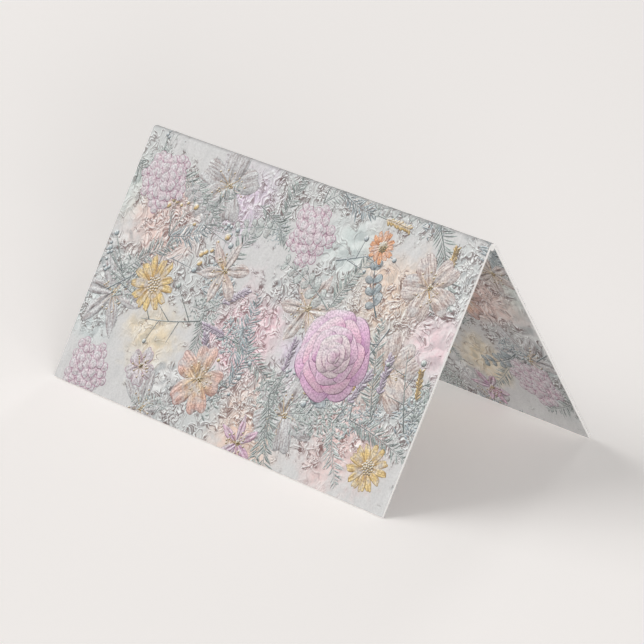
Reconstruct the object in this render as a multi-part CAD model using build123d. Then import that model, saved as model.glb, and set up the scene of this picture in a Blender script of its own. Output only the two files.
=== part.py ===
"""Tent-folded greeting card: one sheet of heavy board, creased across its middle.

Millimetres, +Z up. The fold runs along X. The near panel leans towards -Y and the far panel
towards +Y. The card stands on the lower edges of its two panels, which lie on z = 0.
"""
from build123d import *
from math import cos, pi, radians, sin
import os

# The flat sheet, as it leaves the guillotine
card_length = 88.9  # along the fold, 3.5 in
sheet_height = 101.6  # across the fold, 4 in, so that each panel is 2 in
board = 0.50  # thickness of the board

# The fold
panel_lean = radians(30.5)  # each panel's angle from upright
fold_radius = 0.35  # inner face of the sheet round the fold

# The crease's ridge: pressing the crease pushes board fibres into a rounded ridge, which lies
# along the inside of the fold and keeps the two panels from closing flat on each other
ridge_radius = 0.45
ridge_root = 0.04  # how deep the ridge's top is merged into the sheet above it

# What follows from them. The sheet keeps its length at half its thickness, so the bend round
# the fold is taken off the two panels' straight parts.
outer_radius = fold_radius + board
middle_radius = fold_radius + board / 2
fold_turn = pi - 2 * panel_lean
panel_reach = (sheet_height - fold_turn * middle_radius) / 2
fold_centre_z = panel_reach * cos(panel_lean) - fold_radius * sin(panel_lean)
ridge_centre_z = fold_centre_z + fold_radius + ridge_root - ridge_radius


def foot(side, radius):
    """Foot of a panel, on the face that lies at radius from the fold's centre.

    side is -1 for the near panel and 1 for the far one.
    """
    return (
        side * (radius * cos(panel_lean) + panel_reach * sin(panel_lean)),
        fold_centre_z + radius * sin(panel_lean) - panel_reach * cos(panel_lean),
    )


def peak(radius):
    """Point where the two panels' faces at radius would meet if the fold were sharp."""
    return (0, fold_centre_z + radius / sin(panel_lean))


def face_line(radius):
    """One face of the sheet, foot to foot over the fold."""
    return FilletPolyline(foot(-1, radius), peak(radius), foot(1, radius), radius=radius)


def folded_sheet():
    """The sheet's section with its ridge, drawn out along the fold."""
    with BuildPart() as sheet:
        with BuildSketch(Plane.YZ):
            with BuildLine():
                outside = face_line(outer_radius)
                inside = face_line(fold_radius)
                Line(outside @ 0, inside @ 0)
                Line(outside @ 1, inside @ 1)
            make_face()
            with Locations((0, ridge_centre_z)):
                Circle(ridge_radius)
        extrude(amount=card_length / 2, both=True)
    return sheet.part


os.makedirs("parts", exist_ok=True)
export_step(folded_sheet(), "parts/folded_card.step")
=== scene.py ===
# %% [markdown]
# # A printed greeting card, folded as a tent
# One sheet of heavy board, printed on both faces, creased across its middle and stood up. The
# solid model of the folded sheet is loaded as it stands.

import math

import bmesh
import bpy
import numpy as np
from mathutils import Matrix, Vector, noise
from mathutils.bvhtree import BVHTree


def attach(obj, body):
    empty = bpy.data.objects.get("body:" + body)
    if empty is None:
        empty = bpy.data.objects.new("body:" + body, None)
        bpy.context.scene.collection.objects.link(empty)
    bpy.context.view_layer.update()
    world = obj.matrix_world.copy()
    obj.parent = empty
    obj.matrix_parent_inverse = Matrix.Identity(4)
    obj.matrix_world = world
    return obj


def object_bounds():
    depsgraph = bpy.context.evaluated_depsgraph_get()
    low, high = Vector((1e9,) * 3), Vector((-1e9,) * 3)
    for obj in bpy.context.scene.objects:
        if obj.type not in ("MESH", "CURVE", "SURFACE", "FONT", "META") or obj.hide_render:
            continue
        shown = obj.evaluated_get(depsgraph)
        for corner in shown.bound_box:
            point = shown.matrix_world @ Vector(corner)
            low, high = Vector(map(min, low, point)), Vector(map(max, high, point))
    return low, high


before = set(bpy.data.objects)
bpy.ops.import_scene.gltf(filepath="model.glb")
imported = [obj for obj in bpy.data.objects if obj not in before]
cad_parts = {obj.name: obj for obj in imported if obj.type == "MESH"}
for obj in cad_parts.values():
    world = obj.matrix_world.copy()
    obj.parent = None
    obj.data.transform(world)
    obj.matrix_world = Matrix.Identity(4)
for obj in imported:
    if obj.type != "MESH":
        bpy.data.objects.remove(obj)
cad_low, cad_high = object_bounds()
mm = 0.001  # in metres, which Blender counts in
print("solid model, mm:", [round((b - a) / mm, 2) for a, b in zip(cad_low, cad_high)])

# %% [markdown]
# ## The camera
# The photograph looks down on the tent from its right front corner, through a long lens that
# keeps the edges nearly parallel. The angles, distance and lens were found from the card's
# corners in the picture. The aim is moved a little aside to frame it as the photograph does.

# %% Camera
camera_azimuth = math.radians(46.98)
camera_elevation = math.radians(21.28)
camera_distance = 704.8 * mm
aim = Vector((0, 0, 20 * mm))
aim_right, aim_up = 0.90 * mm, -3.01 * mm
lens_mm = 215.8
sensor_mm = 36.0


def add_object(name, data):
    """Adds an object to the scene."""
    thing = bpy.data.objects.new(name, data)
    bpy.context.scene.collection.objects.link(thing)
    return thing


back = Vector((
    math.sin(camera_azimuth) * math.cos(camera_elevation),
    -math.cos(camera_azimuth) * math.cos(camera_elevation),
    math.sin(camera_elevation),
))
right = Vector((math.cos(camera_azimuth), math.sin(camera_azimuth), 0))
camera = add_object("camera", bpy.data.cameras.new("camera"))
camera.data.lens = lens_mm
camera.data.sensor_width = sensor_mm
camera.data.clip_start = 10 * mm
camera.location = aim + right * aim_right + back.cross(right) * aim_up + back * camera_distance
camera.rotation_mode = "QUATERNION"
camera.rotation_quaternion = (-back).to_track_quat("-Z", "Y")
bpy.context.scene.camera = camera
bpy.context.scene.view_settings.view_transform = "Standard"
print("camera, m:", [round(c, 4) for c in camera.location])

# %% [markdown]
# ## From the flat sheet to the tent
# Such a card is printed flat and folded afterwards, so the print is made that way here too.
# Every drawn shape is laid out on the opened sheet in millimetres: u runs along the fold, v
# across it with 0 at the crease, and the height orders what lies over what. `fold_up` then
# bends the sheet about its crease, as the board bends: its middle surface keeps its length.

# %% Sizes of the sheet, and its fold
card_length = 88.9  # mm along the crease
sheet_height = 101.6  # mm across it, opened flat
board = 0.50  # mm
fold_radius = 0.35  # mm, inside the crease
lean = math.radians(30.5)
middle_radius = fold_radius + board / 2
half_turn = math.pi / 2 - lean
crest = cad_high[2] / mm
fold_centre = crest - fold_radius - board


def fold_up(flat, side):
    """Bends points of the flat sheet (mm) onto the tent (m). side is 1 outside and -1 inside."""
    u, v, height = flat.T
    v = side * v
    angle = np.clip(v / middle_radius, -half_turn, half_turn)
    along = v - angle * middle_radius
    radius = middle_radius + side * (board / 2 + height)
    y = radius * np.sin(angle) + along * np.cos(angle)
    z = fold_centre + radius * np.cos(angle) - along * np.sin(angle)
    return np.stack([u, y, z], 1) * mm


foot = fold_up(np.array([[0, sheet_height / 2, 0]]), 1)[0]
print("outer foot, mm:", (foot / mm).round(3), "solid:", round(cad_high[1] / mm, 3))

# %% [markdown]
# ## Inks
# The print is soft and dusty: a pale grey ground, sage and grey-blue leaves, and petals in
# lilac, rose, peach and butter yellow, each drawn with a thin darker line. A petal's ink
# changes from its root to its tip, so every petal ink is a trio: root, tip, line. Colours are
# written as sRGB hex codes, as a paint program shows them, while shaders count in linear light,
# so a function converts them.

# %% Inks
def colour(hex_code):
    """A colour written as sRGB hex, as the linear RGBA that shaders use."""
    levels = [int(hex_code[i:i + 2], 16) / 255 for i in (1, 3, 5)]
    linear = [c / 12.92 if c <= 0.04045 else ((c + 0.055) / 1.055) ** 2.4 for c in levels]
    return (*linear, 1.0)


def trio(root, tip, line):
    """The three inks of a petal."""
    return [colour(root), colour(tip), colour(line)]


ground_ink = colour("#c3c2c1")
lilac = trio("#c08bb6", "#dfbdd0", "#8e6582")
orchid = trio("#b97cb2", "#dcb2ce", "#895e80")
rosy = trio("#cb8bb4", "#e4bbcd", "#956180")
pearl = trio("#ccacbd", "#dccbcd", "#9d798c")
mauve = trio("#bba9bf", "#cfc4d1", "#97859a")
blush = trio("#d8c3cb", "#d0cdcf", "#b0859a")
peach = trio("#e3c791", "#e1bdb0", "#b07d74")
orange = trio("#eda25e", "#f0b484", "#b97a4c")
butter = trio("#cca259", "#e4cb8c", "#9f8143")
shell = trio("#dac8b8", "#d6ccc6", "#b5a199")
ghost = trio("#c2c2c2", "#c8c9c9", "#9ca1a2")
sage = trio("#8f9c97", "#aebab4", "#616b69")
teal = trio("#8a9ba0", "#afbcbf", "#5c6a70")
mint = trio("#b3bcb8", "#c5cbc8", "#889491")
print("ground ink in linear light:", [round(c, 3) for c in ground_ink[:3]])

# %% [markdown]
# ## One petal
# Nearly everything in the print is a petal or a leaf, so one function draws them all. It starts
# from a square grid of faces. Squeezing the square into a disc keeps the rows of faces, and the
# outermost row can be made as narrow as a pen line: those faces become the outline. The disc
# is then drawn out to a petal. It also gets a low relief, which the finished print doesn't
# keep: like the picture on such a card, it is only *shaded* as if it were embossed.

# %% A petal
line_width = 0.18  # mm
notch_width, groove_width = 0.3, 0.22  # as shares of half a petal's width
crinkle_size, crinkle_rise = 0.9, 0.02  # mm across, and high on a petal 1 mm wide


def smooth_step(t):
    """0 to 1 with a soft start and end."""
    t = min(max(t, 0.0), 1.0)
    return t * t * (3 - 2 * t)


def petal(length, width, inks, belly=0.5, point=0.0, notch=0.0, ruffle=0.0, groove=0.0,
          puff=0.06, veins=1.0, cells=8, seed=0.0, start=0.0):
    """A petal or leaf along +X from the origin, in mm, with its outline, inks and relief."""
    bm = bmesh.new()
    paint = bm.loops.layers.float_color.new("ink")
    grain = bm.verts.layers.float_vector.new("grain")
    bmesh.ops.create_grid(bm, x_segments=cells, y_segments=cells, size=1.0)
    last_row = 1 - 2 / cells
    shift = Vector((seed * 7.3, seed * 3.1, seed))  # where in the noise this petal lies
    along, edge = {}, {}
    for vert in bm.verts:
        across = []
        for place, size in zip(vert.co.xy, (length, width)):
            inner = abs(place) < last_row + 0.01
            across.append(place / last_row * (1 - 2 * line_width / size) if inner else place)
        s, t = across
        x, y = s * math.sqrt(1 - t * t / 2), t * math.sqrt(1 - s * s / 2)
        reach = math.hypot(x, y)
        a = (x + 1) / 2
        wave = 1 + ruffle * math.sin(3 * math.atan2(y, x) + 5 * seed) * reach ** 3
        taper = (belly + (1 - belly) * a ** 0.8) * (1 - point * a ** 4)
        flat = Vector((
            length * (a - notch * math.exp(-(y / notch_width) ** 2) * a ** 6) * wave,
            y * width / 2 * taper * wave,
            0,
        ))
        rise = puff * width * (1 - reach ** 2)
        rise -= groove * width * math.exp(-(y / groove_width) ** 2) * (1 - a)
        rise += crinkle_rise * noise.noise(flat / crinkle_size + shift) * min(width, 3)
        vert[grain] = flat + shift
        vert.co = flat + Vector((0, 0, rise))
        along[vert], edge[vert] = a, reach > 0.999
    root_ink, tip_ink, line_ink = (np.array(ink[:3]) for ink in inks)
    for face in bm.faces:
        outline = any(edge[vert] for vert in face.verts)
        for loop in face.loops:
            fade = 1.2 * (along[loop.vert] - start) / (1 - start)
            fill = root_ink + (tip_ink - root_ink) * smooth_step(fade)
            loop[paint] = (*(line_ink if outline else fill), 0.0 if outline else veins)
    return bm


print("a petal's pen line, mm:", line_width)

# %% [markdown]
# ## Groups of petals
# A motif is many small pieces. Each is made at the origin, moved and turned into its place, and
# copied into the motif's own mesh, which can then be laid on the sheet as often as wanted.

# %% Groups of petals
def add_to(group, piece, x=0.0, y=0.0, height=0.0, turn=0.0, scale=1.0):
    """Moves one small bmesh into place and copies it into another."""
    place = Matrix.Translation((x, y, height)) @ Matrix.Rotation(turn, 4, "Z") @ Matrix.Scale(scale, 4)
    bmesh.ops.transform(piece, matrix=place, verts=piece.verts)
    carrier = bpy.data.meshes.new("carrier")
    piece.to_mesh(carrier)
    group.from_mesh(carrier)
    bpy.data.meshes.remove(carrier)
    piece.free()


def as_mesh(group, name):
    """Turns a finished motif into a mesh that can be laid many times."""
    mesh = bpy.data.meshes.new(name)
    group.to_mesh(mesh)
    group.free()
    return mesh


def measure(mesh):
    """Prints how many faces a sample has, and removes it."""
    print("one " + mesh.name + ", faces:", len(mesh.polygons))
    bpy.data.meshes.remove(mesh)


measure(as_mesh(petal(8.0, 5.0, lilac), "petal"))

# %% [markdown]
# ## Stems, leaflets, berries and dots
# The fine greenery is hundreds of tiny leaves. Each has only a few faces, roofed along its
# midrib, so that one half takes the light and the other falls into shade.

# %% Fine parts
one_point = 0.001  # mm, within which corners become one


def fine_part(segments, rows, inks, shape):
    """A small strip of faces placed by shape(along, side), which gives a point in mm."""
    bm = bmesh.new()
    paint = bm.loops.layers.float_color.new("ink")
    bm.verts.layers.float_vector.new("grain")
    bmesh.ops.create_grid(bm, x_segments=segments, y_segments=rows, size=1.0)
    along = {}
    for vert in bm.verts:
        along[vert] = (vert.co.x + 1) / 2
        vert.co = shape(along[vert], vert.co.y)
    for face in bm.faces:
        for loop in face.loops:
            mix = along[loop.vert]
            loop[paint] = [r + (t - r) * mix for r, t in zip(inks[0][:3], inks[1][:3])] + [0.0]
    bmesh.ops.remove_doubles(bm, verts=bm.verts, dist=one_point)
    return bm


def leaflet(length, width, inks):
    """A tiny leaf of three by two faces."""
    def shape(along, side):
        half = width / 2 * math.sin(math.pi * along) ** 0.7
        return Vector((length * along, side * half, (1 - abs(side)) * width * 0.32))
    return fine_part(3, 2, inks, shape)


def stem(length, width, inks, bend=0.0, segments=8):
    """A thin line that starts at the origin along +X and turns by bend radians on its way."""
    def shape(along, side):
        heading = bend * along
        mid = Vector((length * along, 0, 0))
        if bend:
            mid = Vector((math.sin(heading), 1 - math.cos(heading), 0)) * (length / bend)
        half = width / 2 * (1 - 0.6 * along)
        out = Vector((-math.sin(heading), math.cos(heading), 0)) * side * half
        return mid + out + Vector((0, 0, (1 - abs(side)) * width * 0.4))
    return fine_part(segments, 2, inks, shape)


def dot(diameter, inks):
    """A round berry, anther or seed with its outline."""
    return petal(diameter, diameter, inks, belly=1.0, puff=0.3, veins=0.0, cells=4)


measure(as_mesh(leaflet(1.5, 0.4, sage), "leaflet"))

# %% [markdown]
# ## A full blossom
# The motifs are plain garden flowers. The largest is a full camellia: rings of broad petals,
# each ring shorter than the last, with an ink of its own for each of the outer rings. Each petal
# lies one step above the one before, from the outer ring inwards, so they overlap as real ones do.

# %% Camellia
def polar(out, turn):
    """The place at a distance from the origin, in a direction in radians."""
    return out * math.cos(turn), out * math.sin(turn)


def camellia(inks, diameter, seed):
    """Rings of broad petals round a tight middle. inks has their trios, the last for all the rest."""
    rng = np.random.default_rng(seed)
    flower = bmesh.new()
    layer = 0
    rings = (  # petals, then their reach and length as shares of the diameter
        (7, 0.50, 0.36), (6, 0.41, 0.33), (6, 0.32, 0.29),
        (5, 0.235, 0.23), (4, 0.155, 0.18), (3, 0.085, 0.12),
    )
    for ring, (count, reach, size) in enumerate(rings):
        start = rng.uniform(0, 6)
        ring_inks = inks[min(ring, len(inks) - 1)]
        for i in range(count):
            length = size * diameter * rng.uniform(0.95, 1.08)
            leaf = petal(length, length * rng.uniform(1.2, 1.45), ring_inks, belly=0.8, ruffle=0.04,
                         puff=0.07, groove=0.03, seed=rng.uniform(0, 9), veins=0.3, start=0.4,
                         cells=8 if size > 0.2 else 6)
            turn = start + math.tau * (i + rng.uniform(-0.12, 0.12)) / count
            add_to(flower, leaf, *polar(reach * diameter - length, turn), layer, turn)
            layer += 1
    return as_mesh(flower, "camellia")


measure(camellia([lilac], 17.5, 0))

# %% [markdown]
# ## Blossoms of one ring
# Apple blossom, tickseed and clematis are built alike, from one ring of petals round a heart,
# so one function draws them. They differ in the number of petals, in how wide, notched or
# pointed these are, and in what stands in the heart: a tuft of stamens, or a disc of seeds that
# turn by 2.4 radians from one to the next, as they do in a real flower head.

# %% Apple blossom, tickseed and clematis
seed_turn = 2.4  # radians
seed_size, anther_size, stamen_width = 0.62, 0.5, 0.16  # mm
seed_count = 90  # if the heart were as wide as the flower


def rayed(inks, diameter, seed, count, width, heart, belly, point=0.0, notch=0.0, groove=0.1,
          stamens=0, cells=8):
    """A flower of one ring of petals round a heart. width and heart are shares of its diameter."""
    rng = np.random.default_rng(seed)
    flower = bmesh.new()
    order = list(range(0, count, 2)) + list(range(1, count, 2))
    for layer, i in enumerate(order):
        length = diameter / 2 * rng.uniform(0.9, 1.06)
        leaf = petal(length, width * diameter * rng.uniform(0.92, 1.08), inks, belly=belly,
                     point=point, notch=notch, groove=groove, ruffle=0.05, cells=cells,
                     seed=rng.uniform(0, 9), veins=1.4)
        add_to(flower, leaf, height=layer, turn=math.tau * (i + rng.uniform(-0.12, 0.12)) / count)
    layer = count
    for i in range(stamens):
        turn = rng.uniform(0, math.tau)
        length = diameter * rng.uniform(0.12, 0.24)
        stalk = stem(length, stamen_width, [butter[2], butter[0]], rng.uniform(-0.5, 0.5), 3)
        add_to(flower, stalk, height=layer, turn=turn)
        add_to(flower, dot(anther_size, butter), *polar(length, turn), layer + 1, turn)
        layer += 0.2
    seeds = int(seed_count * heart)
    for i in range(seeds):
        out = heart * diameter / 2 * math.sqrt((i + 0.5) / seeds)
        height = layer + 2 + 0.05 * (seeds - i)
        add_to(flower, dot(seed_size, butter), *polar(out, seed_turn * i), height)
    return as_mesh(flower, "rayed flower")


def apple_blossom(inks, diameter, seed):
    """Five broad petals and a tuft of stamens."""
    return rayed(inks, diameter, seed, count=5, width=0.46, heart=0.07, belly=0.35, notch=0.12,
                 stamens=14, cells=10)


def tickseed(inks, diameter, seed):
    """Thirteen toothed rays round a wide heart of seeds."""
    return rayed(inks, diameter, seed, count=13, width=0.2, heart=0.28, belly=0.45, notch=0.08,
                 groove=0.2, cells=7)


def clematis(inks, diameter, seed):
    """Six pointed petals and a tuft of stamens."""
    return rayed(inks, diameter, seed, count=6, width=0.27, heart=0.08, belly=0.30, point=0.75,
                 groove=0.22, stamens=12, cells=10)


measure(tickseed(butter, 11.5, 0))

# %% [markdown]
# ## A head of florets
# A hydrangea head is a dome of small four-petalled florets. They are set out as the seeds are,
# from the rim inwards, so that the middle ones lie on top.

# %% Hydrangea
floret_size = 4.6  # mm
floret_overlap = 1.7  # florets for each that would lie beside its neighbours


def floret(group, inks, diameter, height, x, y, rng):
    """Four round petals about a point, added to a head of florets."""
    start = rng.uniform(0, 6)
    for i in range(4):
        leaf = petal(diameter * 0.5, diameter * 0.54, inks, belly=0.7, cells=6, veins=0.5,
                     seed=rng.uniform(0, 9), puff=0.05)
        add_to(group, leaf, x, y, height + 0.2 * i, start + i * math.tau / 4)


def hydrangea(inks, diameter, seed):
    """A head of florets, the middle ones on top, packed as seeds are in a seed head."""
    rng = np.random.default_rng(seed)
    head = bmesh.new()
    count = int((diameter / floret_size) ** 2 * floret_overlap)
    for i in reversed(range(count)):
        out = (diameter - floret_size) / 2 * math.sqrt((i + 0.3) / count)
        turn = seed_turn * i + rng.uniform(-0.2, 0.2)
        size = floret_size * rng.uniform(0.85, 1.1) * (1 - 0.25 * i / count)
        floret(head, inks, size, count - i, *polar(out, turn), rng)
    return as_mesh(head, "hydrangea")


measure(hydrangea(blush, 15, 0))

# %% [markdown]
# ## Ferns and thickets
# Greenery fills the space between the blossoms. A fern is a bent stem with needle leaves on both
# sides. A thicket of boxwood is nothing but leaflets that point every way, which reads as a
# rough embossed texture from a step away.

# %% Ferns and thickets
needle_gap, needle_length, rib_width = 0.6, 3.0, 0.26  # mm
missing_needles = 0.15  # as a share


def on_bend(length, bend, along):
    """The place at a share of the way along a bent stem, and the way it heads there."""
    heading = bend * along
    return (length / bend * math.sin(heading), length / bend * (1 - math.cos(heading))), heading


def fern(inks, length, seed):
    """A loose frond: needle leaves on both sides of a bent stem, none quite like its neighbour."""
    rng = np.random.default_rng(seed)
    frond = bmesh.new()
    bend = rng.uniform(-0.9, 0.9)
    pairs = int(length / needle_gap)
    for i in range(pairs):
        along = (i + 1) / (pairs + 1)
        (x, y), heading = on_bend(length, bend, along)
        for side in (1, -1):
            if rng.uniform() < missing_needles:
                continue
            arch = math.sin(math.pi * (0.12 + 0.86 * along)) ** 0.8
            size = (needle_length * arch + 0.4) * rng.uniform(0.6, 1.2)
            turn = heading + side * rng.uniform(0.6, 1.15)
            tone = [inks[2], inks[0]] if rng.uniform() < 0.5 else [inks[0], inks[1]]
            add_to(frond, leaflet(size, rng.uniform(0.3, 0.5), tone), x, y, 0.3 * i, turn)
    add_to(frond, stem(length, rib_width, [inks[2], inks[0]], bend), height=0.3 * pairs)
    return as_mesh(frond, "fern")


def thicket(inks, diameter, seed, count=110):
    """Leaflets that point every way."""
    rng = np.random.default_rng(seed)
    clump = bmesh.new()
    for i in range(count):
        out = diameter / 2 * math.sqrt(rng.uniform(0, 1)) * rng.uniform(0.75, 1)
        turn = rng.uniform(0, math.tau)
        tone = inks if rng.uniform() < 0.5 else [inks[2], inks[0]] if rng.uniform() < 0.6 else mint
        leaf = leaflet(rng.uniform(0.8, 1.8), rng.uniform(0.28, 0.55), tone)
        add_to(clump, leaf, *polar(out, turn), 0.7 * i, rng.uniform(0, math.tau))
    return as_mesh(clump, "thicket")


measure(fern(sage, 15, 0))
measure(thicket(sage, 9, 0))

# %% [markdown]
# ## Twigs
# Two kinds of twig break up the thickets: one carries round leaves in pairs, each with its own
# outline, and one is bare but for a few buds, a clear dark line on the pale ground.

# %% Twigs
leaf_gap = 2.3  # mm
twig_width, shoot_width = 0.34, 0.24  # mm


def round_sprig(inks, length, seed):
    """A curved twig with round leaves in pairs, each with its outline."""
    rng = np.random.default_rng(seed)
    twig = bmesh.new()
    bend = rng.choice([-1, 1]) * rng.uniform(0.4, 1.0)
    add_to(twig, stem(length, twig_width, [inks[2], inks[2]], bend))
    pairs = int(length / leaf_gap)
    for i in range(pairs):
        along = (i + 1) / (pairs + 0.5)
        (x, y), heading = on_bend(length, bend, along)
        for side in (1, -1):
            size = rng.uniform(2.1, 2.9) * (1.1 - 0.4 * along)
            leaf = petal(size, size * 0.8, inks, belly=0.6, groove=0.1, cells=6, seed=rng.uniform(0, 9))
            add_to(twig, leaf, x, y, 1 + i, heading + side * rng.uniform(0.7, 1.2))
    return as_mesh(twig, "round-leaved twig")


def bare_twig(inks, length, seed):
    """A thin dark twig: side shoots that leave it by turns, some ending in a bud."""
    rng = np.random.default_rng(seed)
    twig = bmesh.new()
    bend = rng.uniform(-0.5, 0.5)
    add_to(twig, stem(length, twig_width, [inks[2], inks[0]], bend))
    for i in range(5):
        along = 0.18 + 0.17 * i
        (x, y), heading = on_bend(length, bend, along)
        turn = heading + (1 if i % 2 else -1) * rng.uniform(0.5, 1.1)
        reach = length * rng.uniform(0.25, 0.5) * (1.2 - 0.6 * along)
        add_to(twig, stem(reach, shoot_width, [inks[2], inks[2]], 0.0, 3), x, y, 1 + i, turn)
        if rng.uniform() < 0.6:
            tip = x + reach * math.cos(turn), y + reach * math.sin(turn)
            add_to(twig, dot(rng.uniform(0.8, 1.4), inks), *tip, 8 + i, turn)
    return as_mesh(twig, "bare twig")


measure(round_sprig(teal, 13, 0))
measure(bare_twig(teal, 19, 0))

# %% [markdown]
# ## Flower spikes and berries
# The smallest motifs give the greenery its dots of colour: spikes with buds that crowd towards
# the tip, as on lavender, and fine stalks that fan out of one point with a berry at each end.

# %% Flower spikes and berries
bud_length, bud_width = 1.25, 0.75  # mm
spike_stem, berry_stem = 0.30, 0.22  # mm


def spike(inks, length, seed, buds=22):
    """A flower spike: small buds that crowd towards the tip of a stem."""
    rng = np.random.default_rng(seed)
    stalk = bmesh.new()
    add_to(stalk, stem(length, spike_stem, [sage[2], sage[0]]))
    for i in range(buds):
        along = 0.42 + 0.56 * i / (buds - 1)
        for side in (1, -1):
            bud = petal(bud_length, bud_width, inks, cells=4, veins=0.2, puff=0.2, seed=rng.uniform(0, 9))
            turn = side * rng.uniform(0.3, 1.0)
            add_to(stalk, bud, length * along, 0, 1 + 0.6 * i, turn, rng.uniform(0.7, 1.1))
    return as_mesh(stalk, "flower spike")


def berries(inks, length, seed, stalks=7):
    """Fine stalks that fan out of one point, each with a berry at its end."""
    rng = np.random.default_rng(seed)
    spray = bmesh.new()
    for i in range(stalks):
        bend = rng.uniform(-0.8, 0.8)
        reach = length * rng.uniform(0.6, 1.0)
        turn = rng.uniform(-0.6, 0.6)
        tip = Vector(on_bend(reach, bend, 1.0)[0])
        tip.rotate(Matrix.Rotation(turn, 2))
        add_to(spray, stem(reach, berry_stem, [sage[2], sage[0]], bend), turn=turn, height=i)
        add_to(spray, dot(rng.uniform(0.9, 1.5), inks), tip.x, tip.y, 10 + i, turn + bend)
    return as_mesh(spray, "spray of berries")


measure(spike(mauve, 11, 0))
measure(berries(blush, 9, 0))

# %% [markdown]
# ## Laying motifs on the sheet
# Both faces of the sheet are printed edge to edge. A motif is laid by linking its mesh once
# more, moved and turned, so a fern that lies in ten places is drawn once. Six levels keep the
# order: pale shapes at the bottom, then thickets, ferns, small sprigs, twigs, and blossoms on top.

# %% Laying motifs
pale_level, thicket_level, fern_level = 0.0, 60.0, 160.0
sprig_level, twig_level, bloom_level = 190.0, 215.0, 240.0
laid = {"outside": [], "inside": []}


def lay(face, mesh, u, v, turn, level, scale=1.0):
    """Places one motif on a face of the opened sheet, u and v in mm, turn in degrees."""
    motif = add_object("motif", mesh)
    place = Matrix.Translation((u, v, level)) @ Matrix.Rotation(math.radians(turn), 4, "Z")
    motif.matrix_world = place @ Matrix.Scale(scale, 4)
    laid[face].append(motif)


print("levels from", pale_level, "to", bloom_level)

# %% [markdown]
# ## Where the blossoms lie
# The blossoms carry the colour, so they are placed one by one, evenly but in no grid. Each row is a
# motif, its inks, where it lies (u, v), its turn in degrees, and its size in mm. Some are cut by
# the sheet's edges or run over the fold, as on any card that is printed larger and then trimmed.

# %% Blossoms and pale shapes
lilac_rings = [orchid, rosy, lilac, pearl]  # from the outer ring inwards
blooms = {
    "outside": [
        (camellia, lilac_rings, 20, -28, 20, 17.5), (apple_blossom, shell, 35, -11, 50, 13.5),
        (apple_blossom, peach, -9, -41, 10, 13.5), (tickseed, butter, -29, -28, 0, 11.5),
        (tickseed, butter, 37, -44, 30, 9.5), (clematis, shell, -13, -21, 15, 13),
        (clematis, lilac, 6, -49, 40, 10), (hydrangea, blush, -36, -9, 0, 15),
        (hydrangea, blush, 4, -9, 0, 14.5), (hydrangea, blush, -37, -47, 0, 14),
        (apple_blossom, blush, -24, -43, 70, 8), (tickseed, orange, 21, -7, 10, 6.5),
        (camellia, lilac_rings, -22, 24, 80, 17.5), (apple_blossom, peach, 10, 14, 0, 13.5),
        (apple_blossom, peach, -40, 45, 30, 13), (tickseed, butter, 31, 31, 0, 11.5),
        (tickseed, butter, -34, 8, 40, 9.5), (clematis, shell, 3, 32, 55, 13),
        (hydrangea, blush, 37, 11, 0, 15), (hydrangea, blush, -7, 45, 0, 14),
        (clematis, lilac, 25, 46, 20, 10),
    ],
    "inside": [
        (camellia, lilac_rings, -25, 20, 40, 16.5), (apple_blossom, peach, 26, -19, 20, 13.5),
        (hydrangea, blush, 37, -39, 0, 15), (tickseed, butter, 12, -35, 0, 11),
        (clematis, shell, 40, -9, 35, 12), (hydrangea, blush, 5, -10, 0, 14),
        (apple_blossom, peach, -14, -30, 60, 13), (camellia, lilac_rings, -34, -14, 10, 15),
        (tickseed, butter, -38, -40, 20, 10), (clematis, lilac, 22, -46, 0, 10),
        (apple_blossom, peach, 9, 38, 15, 13.5), (tickseed, butter, 33, 16, 0, 11.5),
        (hydrangea, blush, -3, 12, 0, 14.5), (hydrangea, blush, 37, 42, 0, 14),
        (clematis, shell, -36, 43, 50, 13),
    ],
}
pale_blooms = [
    (apple_blossom, ghost, -20, -6, 15, 16), (apple_blossom, shell, 33, -28, 40, 17),
    (clematis, ghost, -38, -32, 0, 17), (clematis, shell, 10, -22, 70, 15),
    (apple_blossom, ghost, 14, -41, 0, 16), (clematis, ghost, -20, -50, 30, 15),
    (apple_blossom, shell, 26, 12, 0, 15), (clematis, ghost, -12, 10, 50, 17),
    (apple_blossom, shell, -36, 30, 0, 17), (apple_blossom, ghost, 16, 44, 20, 16),
    (clematis, shell, -24, 44, 10, 15), (apple_blossom, ghost, 41, 44, 0, 15),
]
print("blossoms:", {face: len(rows) for face, rows in blooms.items()}, "pale:", len(pale_blooms))

# %% [markdown]
# ## Where the greenery grows
# Garlands are bent lines across the sheet that the greenery will follow. A place on one is found
# by a share of the way along it, and two places close together give the way it heads.

# %% Twigs and garlands
twig_places = [  # u, v, turn
    (-40, -32, 40), (-14, -31, 200), (12, -12, 20), (30, -20, 250), (42, -36, 120), (-6, -46, 60),
    (-38, 22, 20), (-10, 14, 60), (28, 10, 120), (14, 38, 200), (40, 34, 90), (-28, 46, 330),
]
garlands = [  # u, v of the points that each one runs through
    [(-46, -38), (-28, -19), (-6, -31), (12, -17), (27, -19), (46, -5)],
    [(-16, -53), (4, -38), (24, -41), (46, -30)],
    [(-46, -3), (-27, -14), (-8, -5), (8, 3), (24, 2), (46, 12)],
    [(-46, 14), (-26, 12), (-6, 22), (16, 26), (34, 20), (46, 24)],
    [(-46, 34), (-20, 36), (6, 44), (24, 36), (46, 44)],
]


def along_garland(points, share):
    """The place at a share of the way along a garland, and the way it heads."""
    u, v = np.array(points, float).T
    steps = np.linspace(0, 1, len(points))
    here, there = ((np.interp(s, steps, u), np.interp(s, steps, v)) for s in (share, share + 0.02))
    return here, math.degrees(math.atan2(there[1] - here[1], there[0] - here[0]))


print("garlands:", len(garlands), "bare twigs:", len(twig_places))

# %% [markdown]
# ## Sowing the greenery
# Ferns, twigs and thickets crowd along the garlands and leave the ground between them free.
# A random generator with a fixed seed scatters them, each face with its own seed, so the two
# faces differ and yet every run gives the same card.

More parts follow.
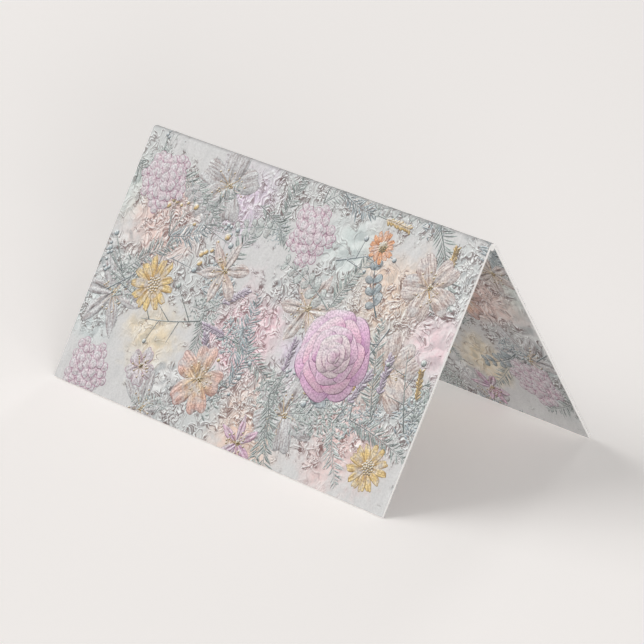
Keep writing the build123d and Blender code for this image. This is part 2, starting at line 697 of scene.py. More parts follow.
# %% Sowing both faces
def variants(make, first_seed, *kinds):
    """Several drawings of one kind of plant. kinds are inks and a size in mm."""
    return [make(inks, size, first_seed + i) for i, (inks, size) in enumerate(kinds)]


garland_step = 0.07  # from one clump to the next, as a share of a garland
stray_u, stray_v = 2.6, 3.2  # mm off the garland
stray_turn = 60  # degrees off the way that a garland heads
thicket_chance, fern_chance = 0.5, 0.6
low_step, bloom_step, scatter_up = 3, 8, 20  # heights from one motif up to the next
thickets = variants(thicket, 10, (sage, 9), (teal, 9), (sage, 9), (teal, 9), (sage, 9))
ferns = variants(fern, 20, (sage, 15), (teal, 12), (sage, 18), (mint, 13))
twigs = variants(round_sprig, 30, (teal, 13), (mint, 16), (ghost, 14))
spikes = variants(spike, 40, (mauve, 11), (blush, 11), (mauve, 11), (butter, 11))
sprays = variants(berries, 50, (blush, 9), (butter, 9), (teal, 9))
bare_twigs = variants(bare_twig, 90, (teal, 19), (sage, 15), (teal, 13))
sprigs = [(0.3, twigs), (0.5, spikes), (0.7, sprays)]  # the kind whose limit is above the pick

for face, mirror, first_seed in (("outside", 1, 100), ("inside", -1, 200)):
    rng = np.random.default_rng(first_seed)
    for i, (kind, inks, u, v, turn, size) in enumerate(pale_blooms):
        lay(face, kind(inks, size, 60 + i), u * mirror, v, turn, pale_level + low_step * i)
    for points in garlands:
        for share in np.arange(0, 1, garland_step):
            (u, v), heading = along_garland(points, share)
            u, v = mirror * u + rng.normal(0, stray_u), v + rng.normal(0, stray_v)
            if rng.uniform() < thicket_chance:
                lay(face, rng.choice(thickets), u, v, rng.uniform(0, 360), thicket_level,
                    rng.uniform(0.6, 1.1))
            if rng.uniform() < fern_chance:
                lay(face, rng.choice(ferns), u, v, heading * mirror + rng.normal(0, stray_turn),
                    fern_level + rng.uniform(0, scatter_up), rng.uniform(0.7, 1.1))
            pick = rng.uniform()
            kinds = next((kinds for limit, kinds in sprigs if pick < limit), None)
            if kinds:
                lay(face, rng.choice(kinds), u, v, heading * mirror + rng.normal(90, stray_turn),
                    sprig_level + rng.uniform(0, scatter_up), rng.uniform(0.75, 1.05))
    for i, (u, v, turn) in enumerate(twig_places):
        lay(face, bare_twigs[i % 3], mirror * u, v, turn, twig_level + low_step * i)
    for i, (kind, inks, u, v, turn, size) in enumerate(blooms[face]):
        lay(face, kind(inks, size, first_seed + i), u, v, turn, bloom_level + bloom_step * i)
    print(face, "motifs laid:", len(laid[face]))

# %% [markdown]
# ## One flat print for each face
# The motifs of a face are joined to one mesh. Faces that lie wholly under others are taken out,
# because nobody sees them and they would only weigh. The print is then trimmed at the sheet's
# edges, as a guillotine does it, and cut along the fold into strips, so that it can bend.

# %% From motifs to a flat print
ridge_gap = 0.95  # mm on the inside, where the crease's ridge stands between the faces
bend_strips = 12
face_inset = 0.1  # how far in from its corners a face is probed, as a share
clearance = 0.05  # mm above it, where the probing starts


def joined(face):
    """Joins the motifs of one face to one mesh that is still flat."""
    carrier = add_object("carrier", bpy.data.meshes.new("carrier"))
    chosen = [carrier, *laid[face]]
    with bpy.context.temp_override(active_object=carrier, selected_editable_objects=chosen):
        bpy.ops.object.join()
    bm = bmesh.new()
    bm.from_mesh(carrier.data)
    bpy.data.objects.remove(carrier)
    return bm


def trim(bm, inner_gap):
    """Cuts the flat print at the sheet's edges and along the bend."""
    def cut(at, normal, **clear):
        everything = [*bm.verts, *bm.edges, *bm.faces]
        bmesh.ops.bisect_plane(bm, geom=everything, plane_co=at, plane_no=normal, **clear)
    for sign in (-1, 1):
        cut((sign * card_length / 2, 0, 0), (sign, 0, 0), clear_outer=True)
        cut((0, sign * sheet_height / 2, 0), (0, sign, 0), clear_outer=True)
    bend = middle_radius * half_turn
    places = [-inner_gap, inner_gap] if inner_gap else np.linspace(-bend, bend, bend_strips + 1)
    for place in places:
        cut((0, place, 0), (0, 1, 0))
    if inner_gap:
        inside_gap = [f for f in bm.faces if abs(f.calc_center_median().y) < inner_gap]
        bmesh.ops.delete(bm, geom=inside_gap, context="FACES")


def drop_hidden(bm):
    """Deletes the faces that lie wholly under others."""
    tree = BVHTree.FromBMesh(bm)
    up = Vector((0, 0, 1))
    hidden = []
    for face in bm.faces:
        middle = face.calc_center_median()
        places = [middle] + [vert.co.lerp(middle, face_inset) for vert in face.verts]
        if all(tree.ray_cast(place + up * clearance, up)[0] is not None for place in places):
            hidden.append(face)
    bmesh.ops.delete(bm, geom=hidden, context="FACES")
    return len(hidden)


print("strips round the outside of the fold:", bend_strips)

# %% [markdown]
# ## Shading the relief
# An embossed look is printed, not pressed: the relief is lit once, from the sheet's upper left,
# and the result is mixed into the inks. A face that leans towards the light takes light ink and
# one that leans away takes dark ink, and the leaning is read from the normals of the flat print.

# %% Shading the relief
light_ink = np.array(colour("#eaecea")[:3])
dark_ink = np.array(colour("#5d5c5c")[:3])
lit_from = np.array((-0.62, 0.78))  # u, v
lit_gain, light_strength, dark_strength = 2.3, 0.84, 0.85


def face_corners(mesh):
    """Which vertex lies at each corner of each face."""
    corners = np.empty(len(mesh.loops), int)
    mesh.loops.foreach_get("vertex_index", corners)
    return corners


def light_relief(mesh):
    """Mixes light and dark into the inks by the way each flat face leans."""
    normals = np.empty((len(mesh.vertices), 3), np.float32)
    mesh.vertex_normals.foreach_get("vector", normals.ravel())
    paint = mesh.color_attributes["ink"]
    inks = np.empty((len(mesh.loops), 4), np.float32)
    paint.data.foreach_get("color", inks.ravel())
    light = (normals[face_corners(mesh), :2] @ lit_from)[:, None]
    lit = np.clip(lit_gain * light, 0, 1) * light_strength
    shade = np.clip(-lit_gain * light, 0, 1) * dark_strength
    inks[:, :3] += (light_ink - inks[:, :3]) * lit
    inks[:, :3] += (dark_ink - inks[:, :3]) * shade
    paint.data.foreach_set("color", inks.ravel())


print("light comes from u, v:", lit_from)

# %% [markdown]
# ## Folding the print
# Now the heights, which only ordered and shaded the motifs, are pressed to a few hundredths of
# a millimetre, and every point is bent round the crease. The flat place of each point is kept
# as a UV map, so that patterns lie on the folded print as they lay on the sheet.

# %% From flat print to folded print
bleed_lift = 0.014  # mm from the board to the lowest ink
ink_stack = 0.045  # mm from the lowest ink to the highest
tallest = bloom_level + 320  # above every motif: this height is pressed to the whole stack


def folded(bm, name, side, lift, finish=None):
    """Presses a flat print and bends it onto the tent. Its UV map is the opened sheet."""
    mesh = bpy.data.meshes.new(name)
    bm.to_mesh(mesh)
    bm.free()
    if finish:
        finish(mesh)
    flat = np.empty((len(mesh.vertices), 3))
    mesh.vertices.foreach_get("co", flat.ravel())
    sheet_map = mesh.uv_layers.new(name="OFBake")
    spread = flat[face_corners(mesh), :2] / (card_length, sheet_height) + 0.5
    sheet_map.data.foreach_set("uv", spread.ravel())
    flat[:, 2] = lift + ink_stack * np.clip(flat[:, 2] / tallest, 0, 1)
    mesh.vertices.foreach_set("co", fold_up(flat, side).ravel())
    mesh.update()
    return add_object(name, mesh)


printed = {}
for face, side, gap in (("outside", 1, 0), ("inside", -1, ridge_gap)):
    flat_print = joined(face)
    whole = len(flat_print.faces)
    hidden = drop_hidden(flat_print)
    trim(flat_print, gap)
    piece = folded(flat_print, "print_" + face, side, bleed_lift, light_relief)
    printed[face] = piece
    piece.data.calc_loop_triangles()
    print(face, "faces:", whole, "hidden:", hidden, "triangles kept:", len(piece.data.loop_triangles))

# %% [markdown]
# ## The printed ground
# Under the flowers the paper is printed all over: a light grey with soft washes of peach, pink
# and mint, rough greenery that looks stamped into it, and smooth pebbled swells. The washes
# and the places of each texture are painted on the vertices of a flat grid, as fields with
# soft borders. The textures are far too fine for a mesh, so nodes draw them.

# %% Washes and swells
washes = [  # ink, u, v, reach in mm
    ("#e1bdb1", -32, -17, 15), ("#dec0a7", 27, -15, 14), ("#e6b8c2", -3, -31, 15), ("#e5bbb5", 29, -41, 15),
    ("#d3bed3", -15, -8, 12), ("#d8c5a3", -24, -37, 11), ("#bdc7c4", 14, -9, 11), ("#bdc7c6", -41, -38, 10),
    ("#e2bea8", 7, -46, 14), ("#dcbfc4", 41, -20, 11), ("#bec7c1", -43, -12, 9), ("#d0bed7", 15, -31, 10),
    ("#e2bdab", -30, 20, 14), ("#dabbcf", -12, 30, 14), ("#d8c3a5", 14, 10, 13), ("#bdc7c4", 33, 22, 13),
    ("#e7b9b7", 22, 38, 14), ("#d0bed7", -35, 40, 13), ("#dfc0aa", 4, 45, 12), ("#bdc6c9", -40, 8, 11),
]
swells = [  # u, v, reach in mm
    (31, -33, 13), (-16, -46, 10), (-26, -13, 9), (8, -40, 11), (41, -10, 9), (-41, -26, 9), (3, -20, 7),
    (-28, 33, 13), (20, 20, 12), (-5, 8, 9), (36, 42, 12), (-12, 47, 9), (40, 5, 9), (-42, 18, 9),
]
print("washes:", len(washes), "swells:", len(swells))

# %% [markdown]
# ## The ground's fields
# Each vertex of the grid takes the mean of the washes that reach it, and three numbers: how near
# it is to a garland and so how green, how much it swells, and a slow noise by which the fine
# lines come and go. Washes, green and swells are read at a place that another noise has moved.

# %% Fields on a flat grid
grid_cells = (84, 96)  # about one a millimetre
green_reach = 10  # mm on either side of a garland
drift_size, drift_reach, cover_size = 7, 4, 9  # mm
second_read = Vector((31.7, 5.3, 0))  # far from the first, so that the two don't agree
garland_points = 60


def soft_reach(distance, reach):
    """1 at no distance, fading to 0 at reach and beyond."""
    return smooth_step(1 - distance / reach)


def drifted(u, v, seed):
    """A place moved by a slow noise, so that no field keeps a round border."""
    slow = Vector((u / drift_size, v / drift_size, seed))
    along, across = noise.noise(slow), noise.noise(slow + second_read)
    return Vector((u + drift_reach * along, v + drift_reach * across))


def ground_sheet(mirror, seed):
    """A flat grid over one face with its washes and texture fields on the vertices."""
    bm = bmesh.new()
    bmesh.ops.create_grid(bm, x_segments=grid_cells[0], y_segments=grid_cells[1], size=0.5)
    bmesh.ops.scale(bm, vec=(card_length, sheet_height, 1), verts=bm.verts)
    wash_layer = bm.verts.layers.float_color.new("wash")
    field_layer = bm.verts.layers.float_vector.new("field")
    shares = np.linspace(0, 1, garland_points)
    paths = [np.array([along_garland(points, share)[0] for share in shares]) for points in garlands]
    paths = np.concatenate(paths) * (mirror, 1)
    for vert in bm.verts:
        u, v = vert.co.xy
        here = drifted(u, v, seed)
        tint, total = np.zeros(3), 0.0
        for code, at_u, at_v, reach in washes:
            weight = soft_reach((here - Vector((at_u * mirror, at_v))).length, reach)
            tint += weight * np.array(colour(code)[:3])
            total += weight
        tint = tint / total if total else np.array(ground_ink[:3])
        vert[wash_layer] = (*tint, min(total, 1.0))
        green = soft_reach(np.hypot(*(paths - here).T).min(), green_reach)
        near = [soft_reach((here - Vector((a * mirror, b))).length, reach) for a, b, reach in swells]
        cover = noise.noise(Vector((u / cover_size, v / cover_size, seed + 5)))
        vert[field_layer] = (green, max(near), cover)
    return bm


print("grid cells of each ground:", math.prod(grid_cells))

# %% [markdown]
# ## Materials and their nodes
# One function starts a material, and another adds a shader node with its settings and links, so
# that a material reads from top to bottom. Settings that many nodes share have names of their
# own, and so has the satin finish of coated board, which both printed materials have.

# %% Materials and nodes
satin = 0.5  # roughness of coated board
satin_gloss = 0.35  # its specular level
blend = {"data_type": "RGBA"}
darken = {"data_type": "RGBA", "blend_type": "MULTIPLY"}
times, plus, minus = ({"operation": name} for name in ("MULTIPLY", "ADD", "SUBTRACT"))
flat_noise = {"noise_dimensions": "2D"}
soft_ends = {"interpolation_type": "SMOOTHSTEP"}


def add_node(tree, kind, settings=None, feeds=None):
    """Adds one node, sets its properties, and fills its inputs, each with a value or a link."""
    node = tree.nodes.new("ShaderNode" + kind)
    for name, value in (settings or {}).items():
        setattr(node, name, value)
    for socket, source in (feeds or {}).items():
        if isinstance(source, bpy.types.NodeSocket):
            tree.links.new(source, node.inputs[socket])
        else:
            node.inputs[socket].default_value = source
    return node


def new_material(name, roughness, specular):
    """A material with nodes, its tree, and its Principled shader with its gloss set."""
    material = bpy.data.materials.new(name)
    material.use_nodes = True
    bsdf = material.node_tree.nodes["Principled BSDF"]
    bsdf.inputs["Roughness"].default_value = roughness
    bsdf.inputs["Specular IOR Level"].default_value = specular
    return material, material.node_tree, bsdf


print("finish of coated board, roughness and specular level:", satin, satin_gloss)

# %% [markdown]
# ## What both printed materials share
# Ground and motifs are the same print, so they share their place on the sheet, their grain and
# a painted highlight on the crease. The place is the UV map of the opened sheet, stretched to
# millimetres, which a fold doesn't change. Offset grain is far finer than a pixel here, so it is
# drawn as coarse as it must be. Over the fold the print is painted paler, a painted highlight
# against the shade that falls on the crease's round. Over the fold the crease has stretched the coating, so
# the print pales a little there.

# %% Place on the sheet, grain, and the painted light on the crease
# How far the painted highlight on the crease reaches, and how strongly it pales the print.
crease_reach = 0.55  # mm on either side of the fold
fold_light_share = 0.3


def sheet_place(tree):
    """The place on the opened sheet, in mm."""
    flat_map = add_node(tree, "UVMap", {"uv_map": "OFBake"})
    to_mm = {"Vector": flat_map.outputs[0], "Scale": (card_length, sheet_height, 1)}
    return add_node(tree, "Mapping", {}, to_mm).outputs[0]


def mottled(tree, place, size, inks, low, high, detail=1.0, roughness=0.5):
    """A noise of a size in mm, from the first ink at its low level to the second at its high."""
    grain = {"Vector": place, "Scale": 1 / size, "Detail": detail, "Roughness": roughness}
    level = add_node(tree, "TexNoise", {}, grain).outputs["Fac"]
    share = add_node(tree, "MapRange", {}, {"Value": level, "From Min": low, "From Max": high})
    ends = {0: share.outputs[0], 6: colour(inks[0]), 7: colour(inks[1])}
    return add_node(tree, "Mix", blend, ends).outputs[2]


def print_grain(tree, tone, place, size, low, darkest, clear=0.6):
    """Darkens a tone in fine specks, as the dots of an offset print do."""
    specks = mottled(tree, place, size, (darkest, "#ffffff"), low, clear)
    return add_node(tree, "Mix", darken, {0: 1.0, 6: tone, 7: specks}).outputs[2]


def painted_fold_light(tree, tone, place):
    """Pales a tone along the fold: a painted highlight against the shade on the crease."""
    across = add_node(tree, "SeparateXYZ", {}, {0: place})
    off = add_node(tree, "Math", minus, {0: across.outputs["Y"], 1: sheet_height / 2})
    away = add_node(tree, "Math", {"operation": "ABSOLUTE"}, {0: off.outputs[0]})
    pale = add_node(tree, "MapRange", soft_ends, {
        "Value": away.outputs[0], "From Min": 0.0, "From Max": crease_reach,
        "To Min": fold_light_share, "To Max": 0.0})
    # The light ink of the painted highlight.
    paled = {0: pale.outputs[0], 6: tone, 7: colour("#f0eeec")}
    return add_node(tree, "Mix", blend, paled).outputs[2]


# How wide the painted highlight on the crease is.
print("painted fold light, mm:", 2 * crease_reach)

# %% [markdown]
# ## Patterns that look embossed
# The picture on such a card is flat, and only shaded as if it were pressed into the paper. The
# same can be done with nodes: a pattern is read twice, a fraction of a millimetre apart, and the
# difference tells which way it slopes there. One way gets a light ink and the other a dark one.
# Bump would do it too, but then the lamps would move the shading, and print doesn't do that.

# %% Slopes of a pattern
crease_size, pebble_size = 3.6, 2.7  # mm


def soft_creases(tree, place):
    """A smooth noise, as of paper that was wet once."""
    feeds = {"Vector": place, "Scale": 1 / crease_size, "Detail": 3.0, "Roughness": 0.5}
    return add_node(tree, "TexNoise", flat_noise, feeds).outputs["Fac"]


def pebbles(tree, place):
    """The height of smooth round cells."""
    settings = {"feature": "SMOOTH_F1", "voronoi_dimensions": "2D"}
    feeds = {"Vector": place, "Scale": 1 / pebble_size, "Smoothness": 0.35}
    return add_node(tree, "TexVoronoi", settings, feeds).outputs["Distance"]


def slope(tree, pattern, place, step):
    """How far a pattern falls over a small step: above 0 where it faces the light."""
    there = add_node(tree, "VectorMath", plus, {0: place, 1: (*step, 0)})
    both = {0: pattern(tree, place), 1: pattern(tree, there.outputs[0])}
    return add_node(tree, "Math", minus, both).outputs[0]


def embossed(tree, tone, fall, share, gain, dark, light):
    """Mixes a dark and a light ink into a tone by a slope. Each ink comes with its strength."""
    for sign, (ink, strength) in ((-1, dark), (1, light)):
        steep = {0: fall, 1: sign * gain}
        part = add_node(tree, "Math", {"operation": "MULTIPLY", "use_clamp": True}, steep)
        for factor in (share, strength):
            part = add_node(tree, "Math", times, {0: part.outputs[0], 1: factor})
        inks = {0: part.outputs[0], 6: tone, 7: ink}
        tone = add_node(tree, "Mix", blend, inks).outputs[2]
    return tone


print("creases and pebbles, mm:", crease_size, pebble_size)

# %% [markdown]
# ## Contour lines for the greenery
# The finest greenery could be thousands of drawn leaves, but they would weigh far more than
# they show. Contour lines of a noise read the same: where its value passes the middle, a thin
# dark line is drawn, with a light edge on the side that faces the light.

# %% Contour lines
edge_strength, line_strength = 0.62, 0.95


def contour(tree, place, size, width):
    """1 on the middle contour of a noise, falling to 0 at the line's borders."""
    feeds = {"Vector": place, "Scale": 1 / size, "Detail": 2.5, "Roughness": 0.55, "Distortion": 0.9}
    swell = add_node(tree, "TexNoise", flat_noise, feeds)
    above = add_node(tree, "Math", minus, {0: swell.outputs["Fac"], 1: 0.5})
    gap = add_node(tree, "Math", {"operation": "ABSOLUTE"}, {0: above.outputs[0]})
    fall = {"Value": gap.outputs[0], "From Min": 0.0, "From Max": width, "To Min": 1.0, "To Max": 0.0}
    return add_node(tree, "MapRange", soft_ends, fall).outputs[0]


def drawn_lines(tree, tone, place, share, weight, inks, size, width, step):
    """Thin dark contour lines, each with a light edge on the side that faces the light."""
    dark_line, light_edge = inks
    here = contour(tree, place, size, width)
    there = add_node(tree, "VectorMath", plus, {0: place, 1: (step, -step, 0)})
    both = {0: contour(tree, there.outputs[0], size, width), 1: here}
    beside = add_node(tree, "Math", {"operation": "SUBTRACT", "use_clamp": True}, both).outputs[0]
    edge = beside, (share, edge_strength), light_edge
    core = here, (share, weight, line_strength), dark_line
    for line, factors, ink in (edge, core):
        for factor in factors:
            line = add_node(tree, "Math", times, {0: line, 1: factor}).outputs[0]
        tone = add_node(tree, "Mix", blend, {0: line, 6: tone, 7: ink}).outputs[2]
    return tone


print("strength of lines and their light edges:", line_strength, edge_strength)

# %% [markdown]
# ## The ground's fields in its material
# The ground is offset ink on coated board: a satin film with an IOR of 1.5, as the Principled
# shader has by itself, a roughness of a half, and a little less gloss. The two layers of the
# mesh come in as attributes. Their borders are torn by a noise, because a painted wash has no
# ruled border.

# %% Ground material: fields
ground_material, tree, bsdf = new_material("printed ground on coated board", satin, satin_gloss)
sheet = sheet_place(tree)
wash = add_node(tree, "Attribute", {"attribute_name": "wash"})
field_layer = add_node(tree, "Attribute", {"attribute_name": "field"})
field = add_node(tree, "SeparateXYZ", {}, {0: field_layer.outputs["Vector"]})
warp_size, warp_by, tear_size = 3.0, 2.2, 2.2  # mm
warp = add_node(tree, "TexNoise", flat_noise, {"Vector": sheet, "Scale": 1 / warp_size, "Detail": 1.0})
pull = add_node(tree, "VectorMath", {"operation": "SCALE"}, {0: warp.outputs["Color"], "Scale": warp_by})
bent = add_node(tree, "VectorMath", plus, {0: sheet, 1: pull.outputs[0]}).outputs[0]
torn = add_node(tree, "TexNoise", flat_noise, {"Vector": sheet, "Scale": 1 / tear_size, "Detail": 3.0})


def ragged_field(tree, source, low, high, rough=1.4):
    """A field with a ragged border: 0 at low and 1 at high."""
    tear = add_node(tree, "MapRange", {"clamp": False}, {
        "Value": torn.outputs["Fac"], "From Min": 0.0, "From Max": 1.0,
        "To Min": -rough / 2, "To Max": rough / 2})
    total = add_node(tree, "Math", plus, {0: source, 1: tear.outputs[0]})
    border = {"Value": total.outputs[0], "From Min": low, "From Max": high}
    return add_node(tree, "MapRange", soft_ends, border).outputs[0]


green_share = ragged_field(tree, field.outputs["X"], 0.2, 0.5)
swell_field = ragged_field(tree, field.outputs["Y"], 0.15, 0.45)
line_cover = ragged_field(tree, field.outputs["Z"], -0.3, 0.2)
wash_field = ragged_field(tree, wash.outputs["Alpha"], 0.0, 1.0, rough=0.8)
fine_share = add_node(tree, "Math", times, {0: green_share, 1: line_cover}).outputs[0]
swell_of_wash = 0.75
wash_swells = add_node(tree, "Math", times, {0: wash_field, 1: swell_of_wash})
swells_or_wash = {0: swell_field, 1: wash_swells.outputs[0]}
pebble_share = add_node(tree, "Math", {"operation": "MAXIMUM"}, swells_or_wash).outputs[0]
print("nodes for the fields:", len(tree.nodes))

# %% [markdown]
# ## The ground's colours
# The order is that of the print: grey, a breath of sage under the greenery, the washes, the
# creases and pebbles, the lines and the faint grain of offset print, and last a painted highlight
# along the crease. Lines take some of the wash they lie on, so they turn rosy on pink and brown
# on peach.

# %% Ground material: colours
wash_strength, sage_strength, wash_in_line = 0.85, 0.35, 0.6
wash_share = add_node(tree, "Math", times, {0: wash_field, 1: wash_strength})
sage_share = add_node(tree, "Math", times, {0: green_share, 1: sage_strength})
grey = add_node(tree, "Mix", blend, {0: sage_share.outputs[0], 6: ground_ink, 7: colour("#b0b8b6")})
washed = {0: wash_share.outputs[0], 6: grey.outputs[2], 7: wash.outputs["Color"]}
tone = add_node(tree, "Mix", blend, washed).outputs[2]
rosy_line = add_node(tree, "Mix", darken, {0: 1.0, 6: tone, 7: colour("#9c7874")})
line_tone = {0: wash_in_line, 6: colour("#434c4e"), 7: rosy_line.outputs[2]}
line_ink = add_node(tree, "Mix", blend, line_tone).outputs[2]

# Creases are nearly three times as long as wide.
crease_step, pebble_step = (0.3, 0.06), (0.26, -0.26)  # mm
crease_gain, pebble_gain = 5.0, 4.5
crease_inks = (colour("#a6a8a9"), 0.35), (colour("#dedfde"), 0.35)  # dark and light, with strengths
pebble_inks = (colour("#7b8487"), 0.85), (colour("#e6e8e6"), 0.8)
long_way = add_node(tree, "Mapping", {}, {"Vector": bent, "Rotation": (0, 0, 0.5), "Scale": (1, 0.35, 1)})
creases = slope(tree, soft_creases, long_way.outputs[0], crease_step)
tone = embossed(tree, tone, creases, 1.0, crease_gain, *crease_inks)
rounds = slope(tree, pebbles, bent, pebble_step)
tone = embossed(tree, tone, rounds, pebble_share, pebble_gain, *pebble_inks)

# Each line is heavier or fainter from place to place.
line_weight = add_node(tree, "MapRange", {}, {
    "Value": torn.outputs["Fac"], "From Min": 0.38, "From Max": 0.6, "To Min": 0.62, "To Max": 1.0})
line_sets = [  # share, size in mm, width as a share of the noise, step to the light edge in mm
    (fine_share, 1.15, 0.085, 0.18), (green_share, 2.1, 0.062, 0.24), (pebble_share, 3.6, 0.03, 0.24),
]
line_inks = line_ink, colour("#eceeed")
for share, size, width, step in line_sets:
    tone = drawn_lines(tree, tone, bent, share, line_weight.outputs[0], line_inks, size, width, step)
tone = print_grain(tree, tone, sheet, size=0.4, low=0.3, darkest="#f3f3f3")
# Last, the painted highlight along the crease.
tree.links.new(painted_fold_light(tree, tone, sheet), bsdf.inputs["Base Color"])
print("nodes of the ground:", len(tree.nodes))

# %% [markdown]
# ## Laying the ground
# Each grid is trimmed and folded just as the motifs are, a few thousandths of a millimetre
# above the board and below the lowest ink, so that no two faces fight for the same place.

# %% Laying the ground on both faces
ground_lift = 0.006  # mm
for face, side, gap, seed in (("outside", 1, 0, 3.0), ("inside", -1, ridge_gap, 8.0)):
    sheet_bm = ground_sheet(side, seed)
    trim(sheet_bm, gap)
    ground = folded(sheet_bm, "ground_" + face, side, ground_lift)
    ground.data.materials.append(ground_material)
    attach(ground, "root")
    print("ground", face, "faces:", len(ground.data.polygons))

# %% [markdown]
# ## The drawn inks
# Offset ink soaks into the coating of the board, so a petal keeps the board's satin finish and
# differs from it in colour alone. The drawn colours come from the mesh. Nodes add what is too
# fine to draw: streaks that run along each petal, places where the ink fades to the ground, and
# the grain of the print.

# %% Ink
streak_size = (0.35, 2.6, 1.0)  # streaks per mm: 3 mm long and 0.4 mm apart
streak_strength = 0.5
thin_size = 1.8  # mm
ink_material, tree, bsdf = new_material("offset ink on coated board", satin, satin_gloss)
drawn = add_node(tree, "Attribute", {"attribute_name": "ink"})
petal_place = add_node(tree, "Attribute", {"attribute_name": "grain"})
stretch = add_node(tree, "Mapping", {}, {"Vector": petal_place.outputs["Vector"], "Scale": streak_size})
streaks = mottled(tree, stretch.outputs[0], 1.0, ("#ad9793", "#ffffff"), low=0.40, high=0.56,
                  detail=2.0, roughness=0.6)
streak_share = add_node(tree, "Math", times, {0: drawn.outputs["Alpha"], 1: streak_strength})
with_streaks = {0: streak_share.outputs[0], 6: drawn.outputs["Color"], 7: streaks}
streaked = add_node(tree, "Mix", darken, with_streaks)

sheet = sheet_place(tree)
fade = add_node(tree, "TexNoise", {}, {"Vector": sheet, "Scale": 1 / thin_size, "Detail": 2.0})
thin_ink = add_node(tree, "MapRange", {}, {
    "Value": fade.outputs["Fac"], "From Min": 0.45, "From Max": 0.7, "To Max": 0.55})
thin_share = add_node(tree, "Math", times, {0: thin_ink.outputs[0], 1: drawn.outputs["Alpha"]})
faded = add_node(tree, "Mix", blend, {0: thin_share.outputs[0], 6: streaked.outputs[2], 7: ground_ink})
tone = print_grain(tree, faded.outputs[2], sheet, size=0.36, low=0.32, darkest="#cfcbce")
# Last, the painted highlight along the crease, as on the ground.
tree.links.new(painted_fold_light(tree, tone, sheet), bsdf.inputs["Base Color"])

for piece in printed.values():
    piece.data.materials.append(ink_material)
    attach(piece, "root")
print("ink material nodes:", len(tree.nodes))

# %% [markdown]
# ## The board itself
# What still shows of the solid model are its cut edges, its feet and the crease's ridge. The
# cut edges are the bare pale pulp of the board, with faint fibres in it. The ridge is printed
# like the rest of the inside. One material does both: it reads the place on the card (Object
# coordinates) and keeps the print to the ridge, short of the cut ends. Bare pulp is duller than
# the coated faces, so the edges catch no shine.

# %% Board with a pale core
core_fibre = 0.09  # mm
ridge_above = 30.0  # mm up from the floor
end_margin = 0.02  # mm of bare core kept at each cut end
board_material, tree, bsdf = new_material("pulp board", roughness=0.6, specular=0.3)
place = add_node(tree, "TexCoord")
in_mm = add_node(tree, "VectorMath", {"operation": "SCALE"}, {0: place.outputs["Object"], "Scale": 1 / mm})
pulp = mottled(tree, in_mm.outputs[0], core_fibre, ("#bcbab8", "#cccac7"), low=0.3, high=0.65, detail=2.0)
axes = add_node(tree, "SeparateXYZ", {}, {0: in_mm.outputs[0]})
off_middle = add_node(tree, "Math", {"operation": "ABSOLUTE"}, {0: axes.outputs["X"]})
ends = {0: off_middle.outputs[0], 1: card_length / 2 - end_margin}
short_of_ends = add_node(tree, "Math", {"operation": "LESS_THAN"}, ends)
high_up = add_node(tree, "Math", {"operation": "GREATER_THAN"}, {0: axes.outputs["Z"], 1: ridge_above})
on_ridge = add_node(tree, "Math", times, {0: short_of_ends.outputs[0], 1: high_up.outputs[0]})
board_tone = add_node(tree, "Mix", blend, {0: on_ridge.outputs[0], 6: pulp, 7: ground_ink})
tree.links.new(board_tone.outputs[2], bsdf.inputs["Base Color"])
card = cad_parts["folded_card"]
card.data.materials.clear()
card.data.materials.append(board_material)
print("board material nodes:", len(tree.nodes))

# %% [markdown]
# ## The floor
# A product photograph is taken on a sheet of pale paper. A large plane does for it. The paper
# has to look nearly white, and yet its light mustn't wash out the card's shadow, so part of its
# brightness is a glow that only the camera sees. Strong lamps would bleach the print instead.

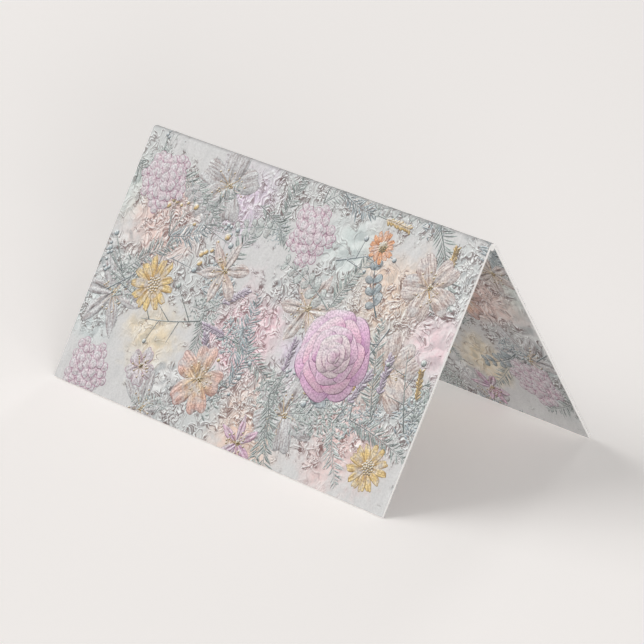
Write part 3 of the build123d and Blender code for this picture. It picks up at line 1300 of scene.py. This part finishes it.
# %% Floor
floor_glow = 0.165
floor_half = 3.0  # m
bm = bmesh.new()
bmesh.ops.create_grid(bm, x_segments=1, y_segments=1, size=floor_half)
floor_mesh = bpy.data.meshes.new("floor")
bm.to_mesh(floor_mesh)
bm.free()
floor = add_object("floor", floor_mesh)
floor_material, tree, bsdf = new_material("matt paper backdrop", roughness=0.9, specular=0.2)
bsdf.inputs["Base Color"].default_value = colour("#f9f5f2")
ray = add_node(tree, "LightPath")
seen_glow = add_node(tree, "Math", times, {0: ray.outputs["Is Camera Ray"], 1: floor_glow})
glow = add_node(tree, "Emission", {}, {"Color": colour("#fffaf6"), "Strength": seen_glow.outputs[0]})
paper = add_node(tree, "AddShader", {}, {0: bsdf.outputs[0], 1: glow.outputs[0]})
tree.links.new(paper.outputs[0], tree.nodes["Material Output"].inputs["Surface"])
floor_mesh.materials.append(floor_material)
print("floor, m:", 2 * floor_half, "square")

# %% [markdown]
# ## Soft light
# The shadow in the photograph falls to the right with soft borders: one large lamp from the
# left, and weaker ones that lift what it leaves dark. Two low lamps on the right reach into the
# tent and onto its inner wall, and one behind keeps the back of the card from going dark. A
# faint white sky fills the rest. Where the camera sees the sky, it is as pale as the floor.

# %% Light
def soft_lamp(name, azimuth, elevation, size, power, distance=1.5):
    """A round lamp aimed at the card, its size and distance in m. Azimuth counts as the camera's."""
    data = bpy.data.lights.new(name, "AREA")
    data.shape = "DISK"
    data.size = size
    data.energy = power
    lamp = add_object(name, data)
    a, e = math.radians(azimuth), math.radians(elevation)
    towards = Vector((math.sin(a) * math.cos(e), -math.cos(a) * math.cos(e), math.sin(e)))
    lamp.location = towards * distance
    lamp.rotation_mode = "QUATERNION"
    lamp.rotation_quaternion = (-towards).to_track_quat("-Z", "Y")


soft_lamp("key", azimuth=-48, elevation=42, size=1.0, power=7.9)
soft_lamp("left", azimuth=-75, elevation=30, size=0.8, power=5.0)
soft_lamp("side", azimuth=55, elevation=8, size=0.5, power=18.4)
soft_lamp("low side", azimuth=75, elevation=8, size=0.4, power=6.0)
soft_lamp("back", azimuth=205, elevation=6, size=0.3, power=7.5)

room_level = 0.22
world = bpy.data.worlds.new("studio")
world.use_nodes = True
tree = world.node_tree
room_light = tree.nodes["Background"]
room_light.inputs["Color"].default_value = colour("#ffffff")
room_light.inputs["Strength"].default_value = room_level
backdrop = add_node(tree, "Background", {}, {"Color": colour("#e9e6e3"), "Strength": 1.0})
ray = add_node(tree, "LightPath")
seen = add_node(tree, "MixShader", {}, {
    0: ray.outputs["Is Camera Ray"], 1: room_light.outputs[0], 2: backdrop.outputs[0]})
tree.links.new(seen.outputs[0], tree.nodes["World Output"].inputs["Surface"])
bpy.context.scene.world = world
print("lamps:", [lamp.name for lamp in bpy.data.lights])
